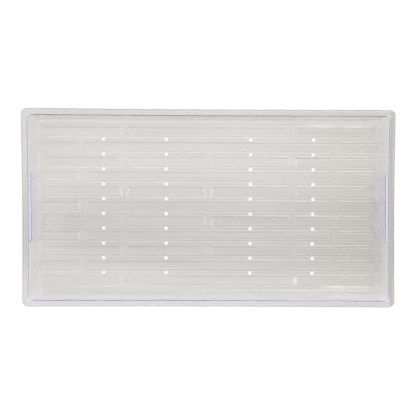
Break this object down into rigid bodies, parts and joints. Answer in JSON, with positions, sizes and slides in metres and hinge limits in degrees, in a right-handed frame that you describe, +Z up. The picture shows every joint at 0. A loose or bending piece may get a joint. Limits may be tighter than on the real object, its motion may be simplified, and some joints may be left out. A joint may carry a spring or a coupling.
{
  "type": "sprouting tray",
  "caption": "Clear shallow rectangular tray with a ribbed, drained floor, sloping walls, a turned-down rim and a finger panel in each end wall, for sprouting seed.",
  "frame": {"origin": "on the table, under the middle of the tray's floor", "axes": "+X along the tray's length, +Y across its width, +Z up"},
  "size_m": [0.54, 0.285, 0.06],
  "materials": {
    "clear_plastic": "clear, glossy, faintly hazy, violet at its bends and cut edges"
  },
  "bodies": {
    "root": {"tray": "clear_plastic"}
  },
  "joints": []
}
